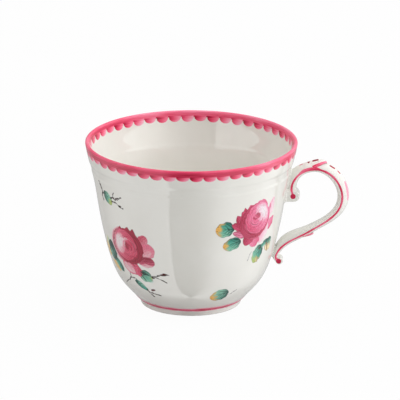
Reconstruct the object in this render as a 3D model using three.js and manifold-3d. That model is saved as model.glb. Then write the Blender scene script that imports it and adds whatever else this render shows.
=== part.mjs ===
// A porcelain teacup: a thin bell-shaped bowl on a low foot ring, with a cast scroll handle.
// Millimetres, +Z up. The handle points along +X and the foot stands on Z = 0.
// The finished group is moved along X so that its origin is the middle of its footprint.

import * as THREE from 'three';
import { mergeVertices } from 'three/addons/utils/BufferGeometryUtils.js';
import Module from 'manifold-3d';

const wasm = await Module();
wasm.setup();

// Driving dimensions
const RIM_DIAMETER = 90;
const CUP_HEIGHT = 71.4;
const WALL = 2.2;
const LIP_WALL = 1.7;
const THINNING_HEIGHTS = [50, 68];
const LIP_RADIUS = 0.8;
const FLOOR_THICKNESS = 3.2;
const FLOOR_RADIUS = 18;
const FLOOR_CORNER = 2.4;
const JOINT_GAP = 0.3;
const LATHE_SEGMENTS = 64;
const WALL_STEPS = 20;

// Foot ring
const FOOT_HEIGHT = 3.0;
const FOOT_OUTER_RADIUS = 21.0;
const FOOT_TOP_RADIUS = 22.7;
const FOOT_INNER_RADIUS = 18.6;
const FOOT_EDGE_ROUND = 0.8;
const FOOT_CHAMFER = 0.3;
const BOWL_BASE_Z = FOOT_HEIGHT + JOINT_GAP;

// Handle: a strap with a flat inside face and a ridged back
const STRAP_HALF_WIDTH = 3.2;
const STRAP_INSIDE = 1.3;
const RIDGE_SHARE = 0.45;
const RIDGE_AT_TOP = 3.0;
const RIDGE_AT_BOTTOM = 1.7;
const RIDGE_UNDER_LEAF = 1.2;
const STRAP_EDGE = 0.4;
const ROOT_SWELL = 1.2;
const LOOP_STEPS = 60;
const TAIL_STEPS = 12;
const TAIL_END_HALF_WIDTH = 2.4;
const TAIL_RIDGE = 1.5;
const TAIL_END_RIDGE = 1.0;
const VOLUTE_RADIUS = 2.55;
const VOLUTE_HALF_WIDTH = 3.5;
const SCROLL_RADIUS = 1.5;
const SCROLL_HALF_WIDTH = 3.0;
const DISC_SIDES = 28;
const PAD_HALF_WIDTH = 2.8;

const RIM_RADIUS = RIM_DIAMETER / 2;
const CREST_RADIUS = RIM_RADIUS - LIP_RADIUS;

const PORCELAIN = { color: 0xeeeeeb, roughness: 0.12, metalness: 0.0 };

// The bell curve of the outside wall, as radius and height, from the foot to the lip
const WALL_CURVE = new THREE.SplineCurve([
  new THREE.Vector2(22.9, BOWL_BASE_Z),
  new THREE.Vector2(25.4, 6),
  new THREE.Vector2(30.4, 12),
  new THREE.Vector2(34.0, 20),
  new THREE.Vector2(37.2, 32),
  new THREE.Vector2(39.5, 44),
  new THREE.Vector2(41.6, 56),
  new THREE.Vector2(44.0, 65),
  new THREE.Vector2(RIM_RADIUS, CUP_HEIGHT - LIP_RADIUS),
]);

// The front line of the handle in the XZ plane, from the volute over the top to the tail
const LOOP_CURVE = new THREE.CatmullRomCurve3(
  [
    [42.6, 50.9], [43.4, 54.4], [46.0, 57.5], [50.2, 59.5], [55.0, 59.3], [59.4, 57.0],
    [62.9, 52.7], [64.1, 47.8], [62.5, 41.8], [57.8, 36.8], [49.6, 31.6], [43.3, 28.4], [39.3, 25.7],
  ].map(([x, z]) => new THREE.Vector3(x, 0, z)),
);

const TAIL_CURVE = new THREE.CatmullRomCurve3(
  [[38.7, 25.2], [37.0, 22.8], [36.3, 20.2]].map(([x, z]) => new THREE.Vector3(x, 0, z)),
);

const VOLUTE_CENTRE = new THREE.Vector2(43.7, 47.8);
const SCROLL_CENTRE = new THREE.Vector2(37.5, 18.5);

// The parts of the loop that the two cast leaves lie on, as shares of its length, and their sizes
const TOP_LEAF = { from: 0.1, to: 0.34, tipLift: 1.6, edge: 0.5, width: 2.9, height: 2.3 };
const LOWER_LEAF = { from: 0.76, to: 0.9, tipLift: 0, edge: 0.2, width: 2.0, height: 1.1 };
const LEAF_STEPS = 20;

// Side outlines of the slip that fills the corners between the cup's wall and the handle
const UPPER_PAD = [[38, 45.4], [42.6, 45.4], [42.6, 51], [43, 53.6], [38, 53.6]];
const LOWER_PAD = [[33, 20.5], [36.6, 20.5], [39.3, 26.5], [39.3, 29.6], [36, 31], [33, 31]];

function toSolid(geometry) {
  const bare = geometry.clone();
  bare.deleteAttribute('normal');
  bare.deleteAttribute('uv');
  const merged = mergeVertices(bare, 1e-4);
  return new wasm.Manifold(
    new wasm.Mesh({
      numProp: 3,
      vertProperties: new Float32Array(merged.attributes.position.array),
      triVerts: new Uint32Array(merged.index.array),
    }),
  );
}

function toGeometry(solid) {
  const mesh = solid.getMesh();
  const geometry = new THREE.BufferGeometry();
  geometry.setAttribute('position', new THREE.BufferAttribute(new Float32Array(mesh.vertProperties), 3));
  geometry.setIndex(new THREE.BufferAttribute(new Uint32Array(mesh.triVerts), 1));
  geometry.computeVertexNormals();
  return geometry;
}

// Lathe a profile of [radius, height] points about the cup's axis, which is Z
function lathe(profile) {
  const points = profile.map(([r, z]) => new THREE.Vector2(r, z));
  return new THREE.LatheGeometry(points, LATHE_SEGMENTS).rotateX(Math.PI / 2);
}

function arc(centreR, centreZ, radius, fromDeg, toDeg, steps) {
  return Array.from({ length: steps + 1 }, (_, i) => {
    const a = THREE.MathUtils.degToRad(fromDeg + ((toDeg - fromDeg) * i) / steps);
    return [centreR + radius * Math.cos(a), centreZ + radius * Math.sin(a)];
  });
}

// Points up the outside wall, a distance `grow` outside its surface
function outsideWall(grow) {
  return Array.from({ length: WALL_STEPS + 1 }, (_, i) => {
    const p = WALL_CURVE.getPoint(i / WALL_STEPS);
    const t = WALL_CURVE.getTangent(i / WALL_STEPS);
    return [p.x + t.y * grow, p.y - t.x * grow];
  });
}

function insideWall() {
  return Array.from({ length: WALL_STEPS + 1 }, (_, i) => {
    const share = 1 - i / WALL_STEPS;
    const p = WALL_CURVE.getPoint(share);
    const t = WALL_CURVE.getTangent(share);
    const wall = THREE.MathUtils.lerp(WALL, LIP_WALL, THREE.MathUtils.smoothstep(p.y, ...THINNING_HEIGHTS));
    return [p.x - t.y * wall, p.y + t.x * wall];
  });
}

function bowl() {
  const floorZ = BOWL_BASE_Z + FLOOR_THICKNESS;
  const lipZ = CUP_HEIGHT - LIP_RADIUS;
  const inside = insideWall().filter(([, z]) => z > floorZ + FLOOR_CORNER && z < lipZ - LIP_RADIUS / 2);
  return lathe([
    [0, BOWL_BASE_Z],
    ...outsideWall(0),
    ...arc(CREST_RADIUS, lipZ, LIP_RADIUS, 30, 160, 5),
    ...inside,
    [FLOOR_RADIUS + FLOOR_CORNER, floorZ + FLOOR_CORNER / 3],
    [FLOOR_RADIUS, floorZ],
    [0, floorZ],
  ]);
}

function footRing() {
  const edgeRadius = FOOT_OUTER_RADIUS - FOOT_EDGE_ROUND;
  const innerCorner = [FOOT_INNER_RADIUS, FOOT_CHAMFER];
  return lathe([
    innerCorner,
    [FOOT_INNER_RADIUS + FOOT_CHAMFER, 0],
    ...arc(edgeRadius, FOOT_EDGE_ROUND, FOOT_EDGE_ROUND, -90, -10, 4),
    [FOOT_TOP_RADIUS, FOOT_HEIGHT],
    [FOOT_INNER_RADIUS - FOOT_CHAMFER, FOOT_HEIGHT],
    innerCorner,
  ]);
}

// Sweep a convex section along a curve in the XZ plane; the section's points are [across, out],
// where `out` points away from the inside of the handle
function sweep(curve, sectionAt, steps) {
  const rings = Array.from({ length: steps + 1 }, (_, i) => {
    const share = i / steps;
    const p = curve.getPointAt(share);
    const t = curve.getTangentAt(share);
    return sectionAt(share).map(([across, out]) => [p.x - t.z * out, across, p.z + t.x * out]);
  });
  const sides = rings[0].length;
  const index = [];
  for (let i = 0; i < steps; i += 1) {
    for (let k = 0; k < sides; k += 1) {
      const a = i * sides + k;
      const b = i * sides + ((k + 1) % sides);
      index.push(a, b, b + sides, a, b + sides, a + sides);
    }
  }
  const last = steps * sides;
  for (let k = 1; k < sides - 1; k += 1) {
    index.push(0, k + 1, k);
    index.push(last, last + k, last + k + 1);
  }
  const geometry = new THREE.BufferGeometry();
  geometry.setAttribute('position', new THREE.BufferAttribute(new Float32Array(rings.flat(2)), 3));
  geometry.setIndex(index);
  return geometry;
}

// The strap's section: flat inside, upright edges and a ridge of height `ridge`
function strapSection(inside, ridge, halfWidth, grow) {
  const w = halfWidth + grow;
  const edge = STRAP_EDGE + grow;
  return [
    [w, -inside - grow],
    [w, edge],
    [w * RIDGE_SHARE, ridge + grow],
    [-w * RIDGE_SHARE, ridge + grow],
    [-w, edge],
    [-w, -inside - grow],
  ];
}

function ridgeHeight(share) {
  const fade = THREE.MathUtils.smoothstep(share, 0.45, 0.75);
  const full = THREE.MathUtils.lerp(RIDGE_AT_TOP, RIDGE_AT_BOTTOM, fade);
  const clearTop = THREE.MathUtils.smoothstep(share, TOP_LEAF.to - 0.02, TOP_LEAF.to + 0.03);
  return THREE.MathUtils.lerp(RIDGE_UNDER_LEAF, full, clearTop);
}

function loopSection(grow) {
  return (share) => {
    const root = THREE.MathUtils.smoothstep(share, 0.88, 1);
    return strapSection(STRAP_INSIDE + ROOT_SWELL * root, ridgeHeight(share), STRAP_HALF_WIDTH, grow);
  };
}

function tailSection(grow) {
  return (share) => {
    const halfWidth = THREE.MathUtils.lerp(STRAP_HALF_WIDTH, TAIL_END_HALF_WIDTH, share);
    const ridge = THREE.MathUtils.lerp(TAIL_RIDGE, TAIL_END_RIDGE, share);
    return strapSection(STRAP_INSIDE, ridge, halfWidth, grow);
  };
}

// A disc lying across the handle, such as a scroll's eye
function disc(centre, radius, halfWidth) {
  const cylinder = new THREE.CylinderGeometry(radius, radius, 2 * halfWidth, DISC_SIDES);
  return cylinder.translate(centre.x, 0, centre.y);
}

function pad(outline) {
  const shape = new THREE.Shape(outline.map(([x, z]) => new THREE.Vector2(x, z)));
  const slab = new THREE.ExtrudeGeometry(shape, { depth: 2 * PAD_HALF_WIDTH, bevelEnabled: false });
  return slab.rotateX(Math.PI / 2).translate(0, PAD_HALF_WIDTH, 0);
}

// A ridged leaf that lies on the back of the loop, clear of the ridge under it, with its tip lifted
function leaf(size, ridgeBelow) {
  const shares = Array.from({ length: LEAF_STEPS + 1 }, (_, i) => i / LEAF_STEPS);
  const along = shares.map((share) => LOOP_CURVE.getPointAt(THREE.MathUtils.lerp(size.from, size.to, share)));
  const section = (share) => {
    const swell = Math.sin(Math.PI * THREE.MathUtils.lerp(0.2, 0.93, share));
    const base = ridgeBelow + JOINT_GAP + size.tipLift * THREE.MathUtils.smoothstep(share, 0.75, 1);
    const w = size.width * swell;
    const rib = w * 0.15;
    const top = base + size.edge + (size.height - size.edge) * swell;
    return [[w, base], [w, base + size.edge], [rib, top], [-rib, top], [-w, base + size.edge], [-w, base]];
  };
  return sweep(new THREE.CatmullRomCurve3(along), section, LEAF_STEPS);
}

function cutBy(geometry, ...tools) {
  return tools.reduce((solid, tool) => solid.subtract(tool), toSolid(geometry));
}

function mesh(name, geometry) {
  const piece = new THREE.Mesh(geometry, new THREE.MeshStandardMaterial(PORCELAIN));
  piece.name = name;
  return piece;
}

function buildCup() {
  // What the handle's pieces keep clear of: the filled cup and each other, grown by the joint gap
  const bowlGrown = toSolid(lathe([[0, 2], ...outsideWall(JOINT_GAP), [0, CUP_HEIGHT]]));
  const loopGrown = toSolid(sweep(LOOP_CURVE, loopSection(JOINT_GAP), LOOP_STEPS));
  const tailGrown = toSolid(sweep(TAIL_CURVE, tailSection(JOINT_GAP), TAIL_STEPS));
  const voluteGrown = toSolid(disc(VOLUTE_CENTRE, VOLUTE_RADIUS + JOINT_GAP, VOLUTE_HALF_WIDTH + JOINT_GAP));
  const scrollGrown = toSolid(disc(SCROLL_CENTRE, SCROLL_RADIUS + JOINT_GAP, SCROLL_HALF_WIDTH + JOINT_GAP));

  const loop = cutBy(sweep(LOOP_CURVE, loopSection(0), LOOP_STEPS), bowlGrown, voluteGrown);
  const tail = cutBy(sweep(TAIL_CURVE, tailSection(0), TAIL_STEPS), bowlGrown, loopGrown, scrollGrown);
  const volute = cutBy(disc(VOLUTE_CENTRE, VOLUTE_RADIUS, VOLUTE_HALF_WIDTH), bowlGrown);
  const scroll = cutBy(disc(SCROLL_CENTRE, SCROLL_RADIUS, SCROLL_HALF_WIDTH), bowlGrown);
  const thumbLeaf = cutBy(leaf(TOP_LEAF, RIDGE_UNDER_LEAF), bowlGrown);
  const lowerLeaf = toSolid(leaf(LOWER_LEAF, RIDGE_AT_BOTTOM));
  const upperPad = cutBy(pad(UPPER_PAD), bowlGrown, voluteGrown, loopGrown);
  const lowerPad = cutBy(pad(LOWER_PAD), bowlGrown, loopGrown, tailGrown);

  const cup = new THREE.Group();
  cup.add(
    mesh('bowl', bowl()),
    mesh('foot_ring', footRing()),
    mesh('handle_loop', toGeometry(loop)),
    mesh('upper_volute', toGeometry(volute)),
    mesh('handle_tail', toGeometry(tail)),
    mesh('tail_scroll', toGeometry(scroll)),
    mesh('thumb_leaf', toGeometry(thumbLeaf)),
    mesh('lower_leaf', toGeometry(lowerLeaf)),
    mesh('upper_slip_joint', toGeometry(upperPad)),
    mesh('lower_slip_joint', toGeometry(lowerPad)),
  );
  return cup;
}

const cup = buildCup();
const box = new THREE.Box3().setFromObject(cup);
cup.position.x = -(box.min.x + box.max.x) / 2;

export default cup;
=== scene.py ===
"""A painted porcelain teacup: thin bell-shaped bowl, low foot ring and a cast scroll handle.

Shapes are worked out in millimetres in the cup's own frame: the cup's axis is X = Y = 0, the
table is Z = 0 and the handle points along +X. to_metres() moves them into the frame's axes.
"""
import math

import bpy
import numpy as np
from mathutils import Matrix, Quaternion, Vector


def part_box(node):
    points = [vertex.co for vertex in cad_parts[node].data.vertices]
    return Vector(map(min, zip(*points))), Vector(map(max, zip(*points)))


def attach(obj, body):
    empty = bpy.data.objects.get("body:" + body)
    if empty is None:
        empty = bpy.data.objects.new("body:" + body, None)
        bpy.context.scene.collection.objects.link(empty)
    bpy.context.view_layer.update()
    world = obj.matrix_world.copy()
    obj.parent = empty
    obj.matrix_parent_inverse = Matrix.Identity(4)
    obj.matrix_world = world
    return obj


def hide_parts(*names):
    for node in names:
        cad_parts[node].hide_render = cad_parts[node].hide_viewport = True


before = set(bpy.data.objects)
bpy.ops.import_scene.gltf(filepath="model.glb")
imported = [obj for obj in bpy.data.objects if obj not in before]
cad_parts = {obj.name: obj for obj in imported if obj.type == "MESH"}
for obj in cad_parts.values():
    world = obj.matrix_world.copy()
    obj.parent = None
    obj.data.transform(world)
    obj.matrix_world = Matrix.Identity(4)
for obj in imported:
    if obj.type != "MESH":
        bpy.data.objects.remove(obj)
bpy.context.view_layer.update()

# ---- driving dimensions, in millimetres
MM = 0.001
bowl_low, bowl_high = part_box("bowl")
foot_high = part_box("foot_ring")[1]
AXIS = Vector(((bowl_low.x + bowl_high.x) / 2, (bowl_low.y + bowl_high.y) / 2, 0.0))
RIM_RADIUS = (bowl_high.x - bowl_low.x) / 2 / MM
HEIGHT = bowl_high.z / MM
FOOT_HEIGHT = foot_high.z / MM
BOWL_BASE = bowl_low.z / MM

WALL = 2.2                 # thickness of the body's wall
LIP_WALL = 1.7             # and of the wall just under the lip
LIP_RADIUS = 0.8           # the lip is a half round
LIP_HEIGHT = HEIGHT - LIP_RADIUS
FLOOR_TOP = BOWL_BASE + 3.2
LATHE_STEPS = 288          # round the cup
COLLAR_TOP = 8.6           # depth below the rim of the sunk collar's upper edge
COLLAR_BOTTOM = 12.1       # and of its lower edge
COLLAR_DEPTH = 0.22
INSIDE_STEP = 14.3         # depth of the faint step inside
INSIDE_STEP_RELIEF = 0.08

# Outside wall: radius and height, from the foot to the lip
WALL_POINTS = (
    (22.6, 3.0), (25.4, 6.0), (30.4, 12.0), (34.0, 20.0), (37.2, 32.0),
    (39.5, 44.0), (41.6, 56.0), (43.9, 65.0), (RIM_RADIUS, LIP_HEIGHT),
)
FOOT_BOTTOM_RADIUS = 21.4
FOOT_INNER_RADIUS = 18.6
FOOT_EDGE = 0.9            # radius of the foot's outside edge on the table


# ---- small maths helpers
def smoothstep(low, high, x):
    t = np.clip((np.asarray(x, float) - low) / (high - low), 0, 1)
    return t * t * (3 - 2 * t)


def cubic_spline(points, count):
    """Natural cubic spline through the points, sampled evenly along its length."""
    points = np.asarray(points, float)
    chord = np.r_[0, np.cumsum(np.linalg.norm(np.diff(points, axis=0), axis=1))]
    n, h = len(points), np.diff(chord)
    system, right = np.eye(n), np.zeros_like(points)
    for i in range(1, n - 1):
        system[i, i - 1:i + 2] = h[i - 1], 2 * (h[i - 1] + h[i]), h[i]
        right[i] = 6 * ((points[i + 1] - points[i]) / h[i] - (points[i] - points[i - 1]) / h[i - 1])
    bend = np.linalg.solve(system, right)

    def at(t):
        i = np.clip(np.searchsorted(chord, t, side="right") - 1, 0, n - 2)
        a, b, w = chord[i + 1] - t, t - chord[i], h[i]
        a, b, w = a[:, None], b[:, None], w[:, None]
        return ((bend[i] * a ** 3 + bend[i + 1] * b ** 3) / (6 * w)
                + (points[i] / w - bend[i] * w / 6) * a
                + (points[i + 1] / w - bend[i + 1] * w / 6) * b)

    fine = at(np.linspace(0, chord[-1], 20 * n + 4 * count))
    length = way_along(fine)
    even = np.linspace(0, length[-1], count)
    return np.stack([np.interp(even, length, fine[:, k]) for k in range(points.shape[1])], axis=1)


def way_along(path):
    """The length of a 2-D path up to each of its points."""
    return np.r_[0, np.cumsum(np.linalg.norm(np.diff(path[:, :2], axis=0), axis=1))]


def path_at(path, way):
    """The places at the given ways along a 2-D path."""
    length = way_along(path)
    return np.stack([np.interp(way, length, path[:, k]) for k in (0, 1)], axis=-1)


def curve_frame(path):
    """Unit tangents of a 2-D path and its normals, which are the tangents turned a quarter left."""
    tangent = np.gradient(path[:, :2], axis=0)
    tangent /= np.linalg.norm(tangent, axis=1)[:, None]
    return tangent, np.stack([-tangent[:, 1], tangent[:, 0]], axis=1)


# ---- meshes
def to_metres(points):
    return (np.asarray(points, float) * MM + np.array(AXIS)).tolist()


def add_piece(name, points, faces, material, replaces=(), slot="porcelain", **attributes):
    """Make a smooth mesh piece of millimetre points that rides on the cup, with point attributes."""
    mesh = bpy.data.meshes.new(name)
    mesh.from_pydata(to_metres(points), [], [tuple(map(int, f)) for f in faces])
    mesh.polygons.foreach_set("use_smooth", [True] * len(mesh.polygons))
    for key, values in attributes.items():
        values = np.asarray(values, np.float32)
        kind = "FLOAT_COLOR" if values.ndim == 2 else "FLOAT"
        layer = mesh.attributes.new(key, kind, "POINT")
        layer.data.foreach_set("color" if kind == "FLOAT_COLOR" else "value", values.ravel())
    mesh.update()
    piece = bpy.data.objects.new(name, mesh)
    bpy.context.scene.collection.objects.link(piece)
    mesh.materials.append(material)
    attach(piece, "root")
    if replaces:
        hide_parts(*replaces)
    return piece


def grid_faces(rows, columns, closed=False):
    """Quads of a grid of points numbered row by row. A closed grid joins its last column on."""
    number = np.arange(rows * columns).reshape(rows, columns)
    if closed:
        number = np.hstack([number, number[:, :1]])
    return np.stack([number[:-1, :-1], number[:-1, 1:], number[1:, 1:], number[1:, :-1]],
                    axis=-1).reshape(-1, 4)


def turned_grid(section, steps):
    """Points of a section of (radius, height) at each step round the axis, row by row, and the
    steps' angles."""
    turn = np.arange(steps) * 2 * math.pi / steps
    radius, height = section[:, :1], section[:, 1:]
    points = np.stack([radius * np.cos(turn), radius * np.sin(turn),
                       np.broadcast_to(height, (len(section), steps))], axis=-1)
    return points.reshape(-1, 3), turn


def lathe(profile, steps=LATHE_STEPS):
    """Points and faces of a profile of (radius, height) turned about the axis. Its ends are on the
    axis, or else the profile closes on itself."""
    on_axis = profile[0, 0] < 1e-9
    points = turned_grid(profile[1:-1] if on_axis else profile[:-1], steps)[0]
    if not on_axis:
        return points, grid_faces(len(profile), steps, True) % len(points)
    count, top = len(points), len(points) - steps
    around = [(k, (k + 1) % steps) for k in range(steps)]
    fans = [(count, b, a) for a, b in around] + [(count + 1, top + a, top + b) for a, b in around]
    points = np.vstack([points, [0, 0, profile[0, 1]], [0, 0, profile[-1, 1]]])
    return points, [*grid_faces(len(profile) - 2, steps, True), *fans]


# ---- the wall's surface
WALL_PATH = cubic_spline(WALL_POINTS, 400)
WALL_IN = curve_frame(WALL_PATH)[1]


def outside_path():
    """The outside wall, with the sunk collar below the rim."""
    depth = HEIGHT - WALL_PATH[:, 1:]
    sunk = smoothstep(COLLAR_TOP - 0.5, COLLAR_TOP + 0.3, depth)
    sunk = sunk - smoothstep(COLLAR_BOTTOM - 0.3, COLLAR_BOTTOM + 0.5, depth)
    return WALL_PATH + WALL_IN * COLLAR_DEPTH * sunk


def inside_path():
    """The inside wall, which thins towards the lip and has a faint step below it."""
    z = WALL_PATH[:, 1:]
    wall = WALL + (LIP_WALL - WALL) * smoothstep(50, 66, z)
    wall = wall - INSIDE_STEP_RELIEF * smoothstep(INSIDE_STEP + 0.6, INSIDE_STEP - 0.6, HEIGHT - z)
    return WALL_PATH + WALL_IN * wall


def round_edge(x, z, radius, start, end, steps):
    """Part of a circle about (x, z), between two angles in degrees."""
    turn = np.radians(np.linspace(start, end, steps))
    return np.stack([x + radius * np.cos(turn), z + radius * np.sin(turn)], axis=1)


def lip_path(steps=14):
    """The rounded lip, from the outside wall over the crest to the inside wall."""
    return round_edge(RIM_RADIUS - LIP_RADIUS, LIP_HEIGHT, LIP_RADIUS, 0, 180, steps)


def floor_path():
    """The inside floor, from its rounded corner in to the axis."""
    return cubic_spline(((24.9, FLOOR_TOP + 3.1), (22.0, FLOOR_TOP + 1.2), (17.0, FLOOR_TOP + 0.1),
                         (9.0, FLOOR_TOP - 0.2), (0.0, FLOOR_TOP - 0.25)), 26)


def bowl_profile():
    outside, inside = outside_path()[::3], inside_path()[::-3]
    outside = outside[outside[:, 1] < LIP_HEIGHT - 0.1]
    inside = inside[(inside[:, 1] > FLOOR_TOP + 3.9) & (inside[:, 1] < LIP_HEIGHT - 0.25)]
    base = [(0.0, FOOT_HEIGHT - 0.3), (20.6, FOOT_HEIGHT - 0.3)]
    return np.vstack([base, outside, lip_path(), inside, floor_path()])


def foot_outside():
    """The foot's outside: a rounded edge on the table and a flare up to the bowl."""
    outer = round_edge(FOOT_BOTTOM_RADIUS - FOOT_EDGE, FOOT_EDGE, FOOT_EDGE, -84, 8, 9)
    up = cubic_spline((tuple(outer[-1]), (21.7, 2.1), (22.58, FOOT_HEIGHT)), 10)[1:]
    return np.vstack([outer, up])


def foot_profile():
    """A turned ring: rounded outside edge, narrow standing face, sloping inside wall."""
    hidden = [(22.0, FOOT_HEIGHT + 0.4), (FOOT_INNER_RADIUS - 0.9, FOOT_HEIGHT + 0.4)]
    inner = round_edge(FOOT_INNER_RADIUS + 0.5, 0.5, 0.5, 180, 266, 8)
    ring = np.vstack([foot_outside(), hidden, [(FOOT_INNER_RADIUS - 0.3, 2.2)], inner])
    ring[:, 1] = np.maximum(ring[:, 1], 0)
    return np.vstack([ring, ring[:1]])


# ---- implicit solids
def shifted(cell, axis, back_b, back_c):
    """Cells moved back by so many places along each of the other two axes."""
    moved = cell.copy()
    others = [b for b in range(3) if b != axis]
    moved[:, others[0]] -= back_b
    moved[:, others[1]] -= back_c
    return moved


def surface_net(field, low, high, step):
    """Mesh the zero surface of field(x, y, z), negative inside, with one vertex to a crossed cell.
    Where it meets the box from low to high, it is left open."""
    axes = [np.arange(a, b + step, step) for a, b in zip(low, high)]
    value = np.broadcast_to(field(*np.ix_(*axes)), [len(a) for a in axes])
    cells = np.array(value.shape) - 1
    total, count = np.zeros((*cells, 3)), np.zeros(cells, int)
    crossings = []
    for a in range(3):
        v0, v1 = (np.moveaxis(np.moveaxis(value, a, 0)[part], 0, a)
                  for part in (slice(None, -1), slice(1, None)))
        crossed = (v0 < 0) != (v1 < 0)
        cell = np.argwhere(crossed)
        at = np.stack([axes[k][cell[:, k]] for k in range(3)], axis=1)
        at[:, a] += v0[crossed] / (v0[crossed] - v1[crossed]) * step
        around = [shifted(cell, a, *back) for back in ((1, 1), (0, 1), (0, 0), (1, 0))]
        for near in around:
            ok = ((near >= 0) & (near < cells)).all(axis=1)
            np.add.at(total, tuple(near[ok].T), at[ok])
            np.add.at(count, tuple(near[ok].T), 1)
        ok = np.all([((near >= 0) & (near < cells)).all(axis=1) for near in around], axis=0)
        flip = (v0[crossed] < 0) == (a == 1)
        crossings.append(([near[ok] for near in around], flip[ok]))
    used = count > 0
    number = np.cumsum(used).reshape(used.shape) - 1
    faces = []
    for around, flip in crossings:
        quad = np.stack([number[tuple(near.T)] for near in around], axis=1)
        quad[flip] = quad[flip][:, ::-1]
        faces.append(quad)
    return total[used] / count[used][:, None], np.vstack(faces)


def settle_on(field, points, faces, rounds=3):
    """Even out a net's vertices and drop them onto the field's zero surface."""
    edge = np.vstack([faces[:, [k, (k + 1) % 4]] for k in range(4)])
    valence = np.bincount(edge[:, 0], minlength=len(points))[:, None]
    d = 0.02
    for _ in range(rounds):
        total = np.stack([np.bincount(edge[:, 0], points[edge[:, 1], k], len(points))
                          for k in range(3)], axis=1)
        points = points * 0.5 + total / valence * 0.5
        for _ in range(2):
            x, y, z = points.T
            f = field(x, y, z)
            slope = np.stack([field(x + d, y, z) - f, field(x, y + d, z) - f,
                              field(x, y, z + d) - f], axis=1) / d
            size = (slope ** 2).sum(axis=1)
            move = (f / np.maximum(size, 0.05))[:, None] * slope
            points = points - np.clip(move, -0.2, 0.2)
    return points


def blend_min(a, b, reach):
    """The union of two solids with a fillet of about the given reach between them."""
    h = np.maximum(reach - np.abs(a - b), 0) / reach
    return np.minimum(a, b) - h ** 3 * reach / 6


# ---- the handle
# Stations along the painted edge line, from the upper volute over the top and down to the tail:
# x, z, half width, ridge height outside, swell inside
HANDLE_STATIONS = (
    (42.9, 48.3, 3.00, 1.5, 2.4), (42.5, 51.0, 3.10, 2.4, 2.2), (43.4, 54.4, 3.20, 3.0, 1.9),
    (46.0, 57.6, 3.20, 2.9, 1.6), (50.2, 59.5, 3.20, 2.7, 1.6), (54.9, 59.4, 3.20, 2.8, 1.6),
    (59.5, 57.0, 3.20, 3.0, 1.9), (62.8, 52.7, 3.20, 3.0, 2.0), (64.1, 47.6, 3.20, 2.9, 2.0),
    (62.7, 42.0, 3.20, 2.6, 1.7), (58.4, 37.3, 3.20, 2.1, 1.4), (53.4, 34.0, 3.20, 1.8, 1.6),
    (48.2, 30.9, 3.20, 1.7, 2.3), (43.3, 28.4, 3.20, 1.7, 2.9), (39.5, 25.9, 3.10, 1.6, 2.6),
    (36.9, 22.8, 2.90, 1.4, 1.6), (36.1, 20.0, 2.60, 1.1, 1.3), (37.0, 18.4, 2.40, 0.9, 0.9),
)
HANDLE_SAMPLES = 640
ROOF_POWER = 1.55          # the section's outer half: 1 is a plain roof and 2 is an oval
SOFFIT_POWER = 2.6         # and its inner half, which is fuller
# The scrolls' rolls: centre, reach towards the wall, radius, half length, rounding of the rims
VOLUTE = dict(x=43.5, z=47.8, reach=3.5, radius=2.55, half=3.45, round=0.7)
TAIL_SCROLL = dict(x=37.6, z=18.7, reach=0.0, radius=1.55, half=2.75, round=0.6)
ROOT_FILLET = 2.0
SCROLL_FILLET = 0.7
HANDLE_NET = 0.18   # the net's cells
HANDLE_BOX = ((34.0, -4.6, 15.5), (68.0, 4.6, 64.0))   # it cuts the roots at the bowl's wall

STATIONS = cubic_spline(HANDLE_STATIONS, HANDLE_SAMPLES)
STATION_TANGENT, STATION_OUT = curve_frame(STATIONS)
HANDLE_LENGTH = float(way_along(STATIONS)[-1])

NEAR_STEP = 0.25           # cells of the plane in which the nearest station is looked up once
NEAR_LOW = np.array((30.0, 10.0))
NEAR_CELLS = (170, 240)


def nearest_stations():
    """For each cell of the XZ plane, the nearest sample of the edge line."""
    x = NEAR_LOW[0] + NEAR_STEP * np.arange(NEAR_CELLS[0])
    z = NEAR_LOW[1] + NEAR_STEP * np.arange(NEAR_CELLS[1])
    gap = (x[:, None, None] - STATIONS[:, 0]) ** 2 + (z[None, :, None] - STATIONS[:, 1]) ** 2
    return gap.argmin(axis=2)


NEAREST = nearest_stations()


def along_handle(x, z):
    """For points in the XZ plane: the sample alongside, with its fraction, and the way out from
    the edge line and past its ends."""
    x, z = np.broadcast_arrays(x, z)
    flat = np.stack([x.ravel(), z.ravel()], axis=1)
    cell = np.rint((flat - NEAR_LOW) / NEAR_STEP).astype(int)
    cell = np.clip(cell, 0, np.array(NEAR_CELLS) - 1)
    near = NEAREST[cell[:, 0], cell[:, 1]]
    window = np.clip(near[:, None] + np.arange(-8, 9), 0, HANDLE_SAMPLES - 1)
    gap = ((flat[:, None, :] - STATIONS[window, :2]) ** 2).sum(axis=2)
    near = window[np.arange(len(flat)), gap.argmin(axis=1)]
    away = flat - STATIONS[near, :2]
    forward = (away * STATION_TANGENT[near]).sum(axis=1)
    out = (away * STATION_OUT[near]).sum(axis=1)
    index = near + forward * (HANDLE_SAMPLES - 1) / HANDLE_LENGTH
    return index.reshape(x.shape), out.reshape(x.shape), forward.reshape(x.shape)


def station_value(index, column):
    return np.interp(index, np.arange(HANDLE_SAMPLES), STATIONS[:, column])


def strap_field(x, y, z):
    """The strap: a soft roof over a fuller soffit, whose side edges follow the edge line."""
    index, out, forward = along_handle(x, z)
    half = station_value(index, 2)
    height = np.where(out > 0, station_value(index, 3), station_value(index, 4))
    power = np.where(out > 0, ROOF_POWER, SOFFIT_POWER)
    u, v = np.abs(y) / half, np.abs(out) / height
    ring = np.maximum((u ** power + v ** power) ** (1 / power), 1e-6)
    slope_u = (u / ring) ** (power - 1) / half
    slope_v = (v / ring) ** (power - 1) / height
    body = (ring - 1) / np.maximum(np.hypot(slope_u, slope_v), 0.15)
    past_end = np.where((index < 0) | (index > HANDLE_SAMPLES - 1), np.abs(forward) - 0.3, -9)
    return np.maximum(body, past_end)


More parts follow.
